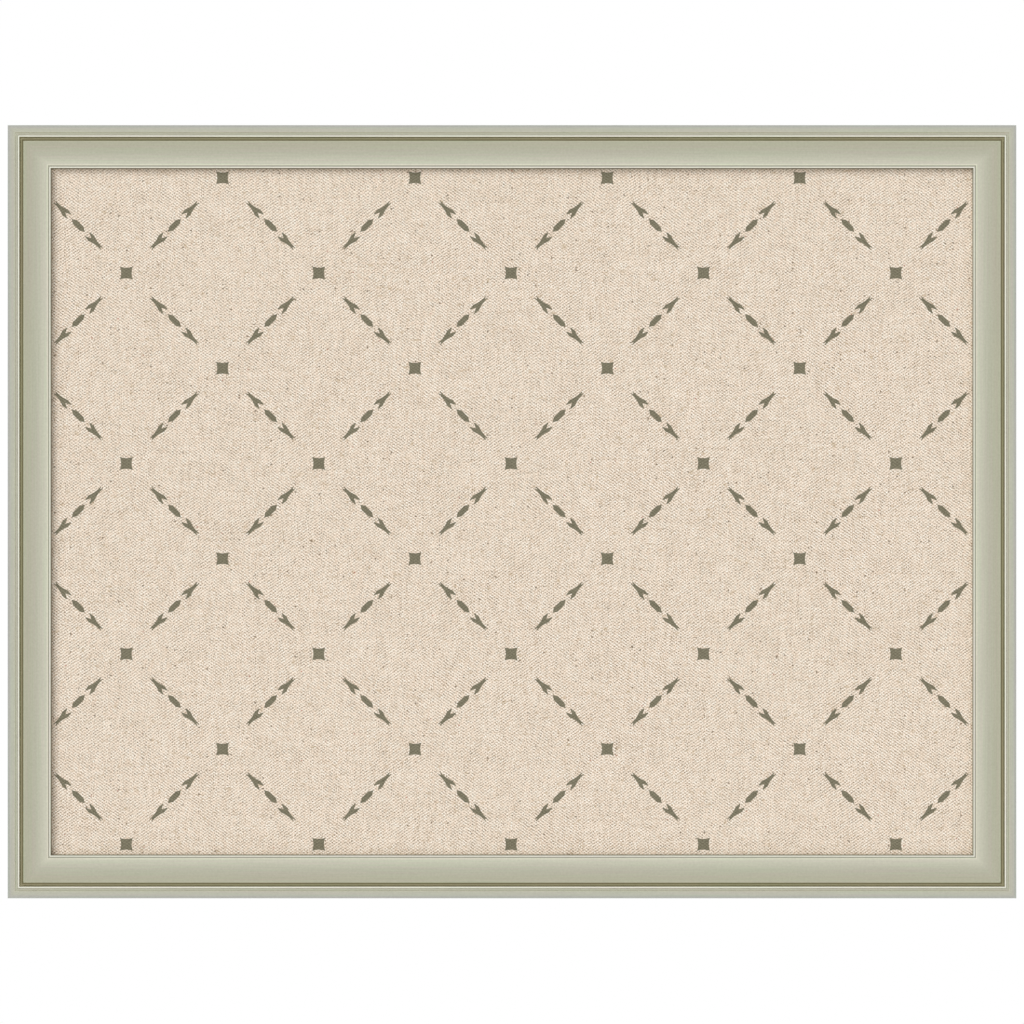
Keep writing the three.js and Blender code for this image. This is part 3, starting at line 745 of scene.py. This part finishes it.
dashes = add(tree, "Math", {0: below, 1: above}, operation="MINIMUM")
print("dash ends, mm:", ink_to[-2][0])

# %% [markdown]
# The square's sides are hollow: the half width grows from the middle of a side to the corner with the
# square of the way along it, and no further. Only the crossings that lie on a diagonal, where `v` is small,
# carry one.

# %% The square
side_middle, side_corner = 3.39, 4.16
off_line = 20
hollow = (side_corner - side_middle) / side_corner ** 2
near = []
for fold, span in ((fold_x, mesh_width), (fold_z, mesh_height)):
    other = add(tree, "Math", {0: span, 1: fold}, operation="SUBTRACT")
    near.append(add(tree, "Math", {0: fold, 1: other}, operation="MINIMUM"))
gaps = []
for one, other in (near, near[::-1]):
    within = add(tree, "Math", {0: other, 1: side_corner}, operation="MINIMUM")
    squared = add(tree, "Math", {0: within, 1: 2}, operation="POWER")
    reach = add(tree, "Math", {0: squared, 1: hollow, 2: side_middle}, operation="MULTIPLY_ADD")
    gaps.append(add(tree, "Math", {0: reach, 1: one}, operation="SUBTRACT"))
square = add(tree, "Math", {0: gaps[0], 1: gaps[1]}, operation="MINIMUM")
on_line = add(tree, "Math", {0: off_line, 1: v}, operation="SUBTRACT")
square = add(tree, "Math", {0: square, 1: on_line}, operation="MINIMUM")
print("square, mm:", 2 * side_middle, "to", 2 * side_corner)

# %% [markdown]
# Both give a depth inside the ink in millimetres. Its edge is a sixth of a millimetre soft, as ink creeps
# into yarn. The ink fills the weave, so it looks flatter than the cloth: its tone follows the yarn and the
# painted shade between threads only a little, and the bump is lower there. Along the lip, a line a quarter
# of a millimetre wide is darkened: painted shade where the cloth dips under the lip.

# %% The cloth's shader
ink_from_edge, ink_full = -0.14, 0.02
ink_dark, ink_light = 1.30, 1.88
lip_shade_from, lip_shade_to = 28.05, 28.25

depth = add(tree, "Math", {0: dashes, 1: square}, operation="MAXIMUM")
ink = add(tree, "MapRange", {"Value": depth, "From Min": ink_from_edge, "From Max": ink_full})
inked = add(tree, "MapRange", {"Value": tone, "From Min": ink_dark, "From Max": ink_light})
# The ink's tone follows the cloth's tone: yarn colour and the painted shade between threads.
ink_over_yarn_and_thread_shade = add(tree, "Mix", {"Factor": inked, "A": linear("#65604D"), "B": linear("#88836F")}, data_type="RGBA")
printed = add(tree, "Mix", {"Factor": ink, "A": cloth_colour, "B": ink_over_yarn_and_thread_shade}, data_type="RGBA")
inward = moulding_places(tree, place)[0]
# Painted shade: a thin dark line on the cloth where it tucks under the lip.
lip_line_painted_shade = add(tree, "MapRange", {
    "Value": inward, "From Min": lip_shade_from, "From Max": lip_shade_to, "To Min": 0.6, "To Max": 0,
})
with_lip_line_shade = add(tree, "Mix", {"Factor": lip_line_painted_shade, "A": printed, "B": linear("#564D3C")}, data_type="RGBA")
relief = add(tree, "MapRange", {"Value": ink, "To Min": 1, "To Max": 0.25})
raised = add(tree, "Math", {0: tone, 1: relief}, operation="MULTIPLY")
bump = add(tree, "Bump", {"Height": raised, "Distance": 0.25 * mm, "Strength": 0.5})
shader = add(tree, "BsdfPrincipled", {
    "Base Color": with_lip_line_shade, "Roughness": 0.92, "Specular IOR Level": 0.25, "Sheen Weight": 0.08,
    "Sheen Roughness": 0.5,
})
end_material(tree, shader, bump)
print("crease, mm from the outer edge:", lip_shade_from, "to", lip_shade_to)

# %% [markdown]
# The sheet becomes the cover piece, standing for the CAD cover, and a Solidify modifier gives it the
# cloth's thickness.

cover = make_piece("linen_cover", shape, [linen], "board", ["fabric_cover"], sharp=60)
thickness = cover.modifiers.new("cloth", "SOLIDIFY")
thickness.thickness = cloth
thickness.offset = -1

# %% [markdown]
# ## Inside the panel
#
# The cork, the core, the back, the staples and the V-nails have their real form in their CAD solids, so
# these stay and only change their finish.
#
# Under the cloth lies pressed cork: grains of bark 2 to 4 mm across, each its own brown, with dark pores
# between them. A Voronoi pattern gives one colour to each grain, and a noise over it makes the pores.

# %% Cork
grain_size, pore_size = 3, 1.4

cork, tree, place = start_material("pressed_cork_grains")
grains = add(tree, "TexVoronoi", {"Vector": place, "Scale": 1 / grain_size})
grain_tone = add(tree, "ValToRGB", {0: grains.outputs["Color"]})
set_ramp(grain_tone, [(0.1, "#8C623A"), (0.45, "#B3865A"), (0.8, "#CDA377")])
pores = add(tree, "TexNoise", {"Vector": place, "Scale": 1 / pore_size, "Detail": 3})
porous = add(tree, "MapRange", {"Value": pores, "From Min": 0.62, "From Max": 0.72, "To Max": 0.7})
cork_tone = add(tree, "Mix", {"Factor": porous, "A": grain_tone, "B": linear("#5A3B22")}, data_type="RGBA")
bump = add(tree, "Bump", {"Height": pores, "Distance": 0.3 * mm, "Strength": 0.6}, invert=True)
shader = add(tree, "BsdfPrincipled", {"Base Color": cork_tone, "Roughness": 0.9, "Specular IOR Level": 0.3})
end_material(tree, shader, bump)

# %% [markdown]
# The core is soft fibreboard, a felt of wood fibres, and the back is hardboard, the same fibres pressed hot
# until they are dense, dark and a little shiny. So one loop makes both: a distorted noise for the felt, a
# broad one for the clouds where more fibres settled, and pale chips where a bundle of fibres stayed whole.

# %% Fibreboard and hardboard
clumps_per_mm, felt_stretch = 0.6, (0.5, 1, 0.9)
cloud_size, cloud_share, felt_share = 40, 0.22, 0.78

boards = {}
for name, tones, rough, relief in (
    ("soft_fibreboard_felted", ((0.3, "#9C8460"), (0.5, "#B39A76"), (0.7, "#C7B08C")), 0.95, 0.35),
    ("hardboard_hot_pressed", ((0.3, "#5C3E27"), (0.5, "#6F4D31"), (0.7, "#835E3E")), 0.55, 0.06),
):
    boards[name], tree, place = start_material(name)
    felt_place = add(tree, "VectorMath", {0: place, 1: felt_stretch}, operation="MULTIPLY")
    felt = add(tree, "TexNoise", {
        "Vector": felt_place, "Scale": clumps_per_mm, "Detail": 6, "Roughness": 0.7, "Distortion": 1.2,
    })
    cloud = add(tree, "TexNoise", {"Vector": place, "Scale": 1 / cloud_size, "Detail": 3})
    felted = add(tree, "Math", {0: felt, 1: felt_share}, operation="MULTIPLY")
    mixed = add(tree, "Math", {0: cloud, 1: cloud_share, 2: felted}, operation="MULTIPLY_ADD")
    board_tone = add(tree, "ValToRGB", {0: mixed})
    set_ramp(board_tone, tones)
    chips = add(tree, "MapRange", {"Value": felt, "From Min": 0.68, "From Max": 0.78, "To Max": 0.35})
    chipped = add(tree, "Mix", {"Factor": chips, "A": board_tone, "B": linear("#C49A6A")}, data_type="RGBA")
    bump = add(tree, "Bump", {"Height": felt, "Distance": relief * mm, "Strength": 0.6})
    shader = add(tree, "BsdfPrincipled", {
        "Base Color": chipped, "Roughness": rough, "Specular IOR Level": 0.4,
    })
    end_material(tree, shader, bump)

# %% [markdown]
# ## Steel, zinc and rubber
#
# Points, staples and V-nails are bright steel, rolled and stamped, with fine rolling lines. The hangers are
# steel plated with bright zinc: a bluish metal with cloudy patches where the plating crystals differ, and
# hairline scratches. Both are a pattern of patches for the tone and a noise drawn out into lines for the
# gloss and the bump, so one loop makes them, with finer lines on the rolled steel.

# %% Steel and zinc
patches_per_mm, clouds_per_mm, lines_per_mm = 0.55, 0.35, 2.2
patch_share, line_stretch = 0.35, 0.08

metals = {}
for name, dark, light, low, high, line_scale in (
    ("rolled_steel_stamped", "#8E9092", "#B4B6B8", 0.28, 0.46, 3.0),
    ("bright_zinc_plated_steel", "#8E959B", "#C0C6CB", 0.18, 0.36, 1.4),
):
    metals[name], tree, place = start_material(name)
    patches = add(tree, "TexVoronoi", {"Vector": place, "Scale": patches_per_mm})
    cloud = add(tree, "TexNoise", {"Vector": place, "Scale": clouds_per_mm, "Detail": 4})
    both = add(
        tree, "Math", {0: patches.outputs["Color"], 1: patch_share, 2: cloud}, operation="MULTIPLY_ADD",
    )
    stretch = (line_scale, line_scale, line_stretch)
    line_place = add(tree, "VectorMath", {0: place, 1: stretch}, operation="MULTIPLY")
    lines = add(tree, "TexNoise", {"Vector": line_place, "Scale": lines_per_mm, "Detail": 2})
    shade = add(tree, "MapRange", {"Value": both, "From Min": 0.4, "From Max": 0.95})
    metal_tone = add(tree, "Mix", {"Factor": shade, "A": linear(dark), "B": linear(light)}, data_type="RGBA")
    gloss = add(tree, "MapRange", {
        "Value": lines, "From Min": 0.3, "From Max": 0.7, "To Min": low, "To Max": high,
    })
    bump = add(tree, "Bump", {"Height": lines, "Distance": 0.01 * mm, "Strength": 0.5})
    shader = add(tree, "BsdfPrincipled", {"Base Color": metal_tone, "Roughness": gloss, "Metallic": 1})
    end_material(tree, shader, bump)

# %% [markdown]
# The feet are moulded rubber, nearly black and dull, with a fine pebble from the mould and some dust on it.

# %% Rubber
pebbles_per_mm, dust_per_mm = 2.4, 0.3

rubber, tree, place = start_material("moulded_black_rubber")
pebble = add(tree, "TexNoise", {"Vector": place, "Scale": pebbles_per_mm, "Detail": 2})
dust = add(tree, "TexNoise", {"Vector": place, "Scale": dust_per_mm, "Detail": 4})
dusty = add(tree, "MapRange", {"Value": dust, "From Min": 0.4, "From Max": 0.7})
rubber_tone = add(
    tree, "Mix", {"Factor": dusty, "A": linear("#262627"), "B": linear("#39393A")}, data_type="RGBA",
)
bump = add(tree, "Bump", {"Height": pebble, "Distance": 0.05 * mm, "Strength": 0.5})
shader = add(tree, "BsdfPrincipled", {
    "Base Color": rubber_tone, "Roughness": 0.78, "Specular IOR Level": 0.4,
})
end_material(tree, shader, bump)

# %% [markdown]
# A finish takes the place of a CAD solid's own material. The cork and the two boards get theirs by name,
# and the staples and V-nails by how their names start. Everything else gets a piece of its own below.

# %% Finishes for the CAD solids that stay
kept = {
    "cork_sheet": cork,
    "fibreboard_core": boards["soft_fibreboard_felted"],
    "hardboard_back": boards["hardboard_hot_pressed"],
}
for node, piece in frame["nodes"].items():
    if node.startswith(("staple_", "v_nail_")):
        kept[node] = metals["rolled_steel_stamped"]
    if node in kept:
        piece.data.materials[0] = kept[node]
print("finished in place:", len(kept), "CAD solids")

# %% [markdown]
# ## Points and hangers
#
# Stamped and folded steel has no razor edges: the punch rounds one side and tumbling rounds the other. So
# each point and strap is the welded CAD form with a narrow bevel on its arrises, which catches a line of
# light. A ring is bent from round wire and only needs smooth shading.

# %% Points, straps and rings
point_bevel, strap_bevel = 0.1 * mm, 0.12 * mm


def bevelled(shape, width, angle=30):
    bmesh.ops.bevel(
        shape, geom=sharp_edges(shape, angle), offset=width, offset_type="OFFSET", segments=2, profile=0.5,
        affect="EDGES", clamp_overlap=True, material=-1,
    )
    return shape


zinc = metals["bright_zinc_plated_steel"]
for node in frame["nodes"]:
    if node.startswith("framer_point_"):
        shape = bevelled(copy_of(node), point_bevel)
        name = node.replace("framer_point", "driven_point")
        make_piece(name, shape, [metals["rolled_steel_stamped"]], "board", [node])
for side in sides:
    strap = bevelled(copy_of(f"strap_hanger_{side}"), strap_bevel)
    make_piece(f"folded_strap_{side}", strap, [zinc], "board", [f"strap_hanger_{side}"])
    ring = copy_of(f"d_ring_{side}")
    make_piece(f"wire_ring_{side}", ring, [zinc], f"ring_{side}", [f"d_ring_{side}"], sharp=50)
print("hangers:", sides)

# %% [markdown]
# ## Screws
#
# A pan-head screw is a turned part, so its profile is spun round its axis. `spun` takes the profile as
# pairs of radius and height, from one end of the axis to the other, and merges the seam and the two poles.

# %% Spinning a profile
def spun(points, steps):
    shape = bmesh.new()
    line = [shape.verts.new((radius, height, 0)) for radius, height in points]
    edges = [shape.edges.new(pair) for pair in zip(line, line[1:])]
    bmesh.ops.spin(
        shape, geom=line + edges, cent=(0, 0, 0), axis=(0, 1, 0), angle=2 * pi, steps=steps, use_merge=True,
    )
    bmesh.ops.remove_doubles(shape, verts=shape.verts, dist=weld)
    bmesh.ops.recalc_face_normals(shape, faces=shape.faces)
    return shape


# %% [markdown]
# The cross recess is punched with a tapered tool. Each of its two slots is cut with a blade, a cube that
# narrows towards its tip.

# %% The blade for the recess
recess_reach, recess_width, recess_depth = 1.9 * mm, 0.9 * mm, 1.7 * mm
recess_taper = (0.3, 1, 0.55)


def blade(turn_by, crown):
    cutter = bmesh.new()
    bmesh.ops.create_cube(cutter, size=1)
    deep = [corner for corner in cutter.verts if corner.co.y < 0]
    bmesh.ops.scale(cutter, verts=deep, vec=recess_taper)
    bmesh.ops.scale(cutter, verts=cutter.verts, vec=(2 * recess_reach, 2 * recess_depth, recess_width))
    bmesh.ops.translate(cutter, verts=cutter.verts, vec=(0, crown, 0))
    bmesh.ops.rotate(cutter, verts=cutter.verts, matrix=Matrix.Rotation(radians(turn_by), 3, "Y"))
    mesh = bpy.data.meshes.new("blade")
    cutter.to_mesh(mesh)
    cutter.free()
    return bpy.data.objects.new("blade", mesh)


# %% [markdown]
# Each screw stopped at its own angle when it was driven. The blades cut it through Boolean modifiers while
# its axis still runs through the origin. The result is then kept as the mesh and moved to its place, and the
# blades are removed.

# %% Screws
head_height, head_edge, shank, point = 2.4 * mm, 0.9 * mm, 1.75 * mm, 3.5 * mm
under_head = 0.15 * mm
screw_turns = {"top": 12, "bottom": 71, "left": 38, "right": 55}

for side in sides:
    low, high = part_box(f"hanger_screw_{side}")
    head_radius = (high.x - low.x) / 2
    seat, crown = high.y - head_height, high.y
    middle = (low + high) / 2
    shape = spun([
        (0, low.y), (0.35 * shank, low.y + 0.3 * point), (shank, low.y + point), (shank, seat),
        (head_radius - under_head, seat), (head_radius, seat + under_head), (head_radius, seat + head_edge),
        (0.95 * head_radius, seat + 0.62 * head_height), (0.8 * head_radius, seat + 0.83 * head_height),
        (0.6 * head_radius, seat + 0.95 * head_height), (0.35 * head_radius, crown), (0, crown),
    ], steps=40)
    screw = make_piece(
        f"pan_head_screw_{side}", shape, [zinc], "board", [f"hanger_screw_{side}"],
    )
    blades = [blade(screw_turns[side] + quarter, crown) for quarter in (0, 90)]
    for cutter in blades:
        bpy.context.scene.collection.objects.link(cutter)
        recess = screw.modifiers.new("recess", "BOOLEAN")
        recess.object = cutter
        recess.solver = "EXACT"
    cut = bpy.data.meshes.new_from_object(screw.evaluated_get(bpy.context.evaluated_depsgraph_get()))
    screw.modifiers.clear()
    screw.data = cut
    cut.transform(Matrix.Translation((middle.x, 0, middle.z)))
    cut.set_sharp_from_angle(angle=radians(35))
    for cutter in blades:
        bpy.data.objects.remove(cutter)
    print(screw.name, len(cut.polygons), "faces")

# %% [markdown]
# ## Feet
#
# The rubber feet are moulded in an open tray: a tapered side, a rounded rim and a shallow hollow in the
# face that meets the wall, so that it grips. The profile is spun like the screws.

# %% Feet
side_taper, dish = 0.7 * mm, 0.6 * mm
rim_profile = ((0.1, -1.1), (-0.1, -0.5), (-0.5, -0.1), (-1.0, 0), (-1.5, 0), (-2.1, -0.35), (-3.4, -0.6))

for corner in ("top_left", "top_right", "bottom_left", "bottom_right"):
    low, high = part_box(f"bumper_{corner}")
    radius = (high.x - low.x) / 2
    middle = (low + high) / 2
    rim = radius - side_taper
    foot = spun([
        (0, low.y), (radius - 0.2 * mm, low.y), (radius, low.y + 0.25 * mm),
        *((rim + out * mm, high.y + up * mm) for out, up in rim_profile),
        (0, high.y - dish),
    ], steps=48)
    bmesh.ops.translate(foot, verts=foot.verts, vec=(middle.x, 0, middle.z))
    make_piece(f"rubber_foot_{corner}", foot, [rubber], "board", [f"bumper_{corner}"], sharp=45)
print("feet reach y, mm:", round(high.y / mm, 2))

# %% [markdown]
# ## Sizes at the end
#
# The dressed board's box is printed here, to set beside the CAD box printed at the start.
# The dressed board must stay in the CAD box.

# %% The boxes
low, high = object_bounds()
print("visual box, mm:", [round(side / mm, 1) for side in high - low])
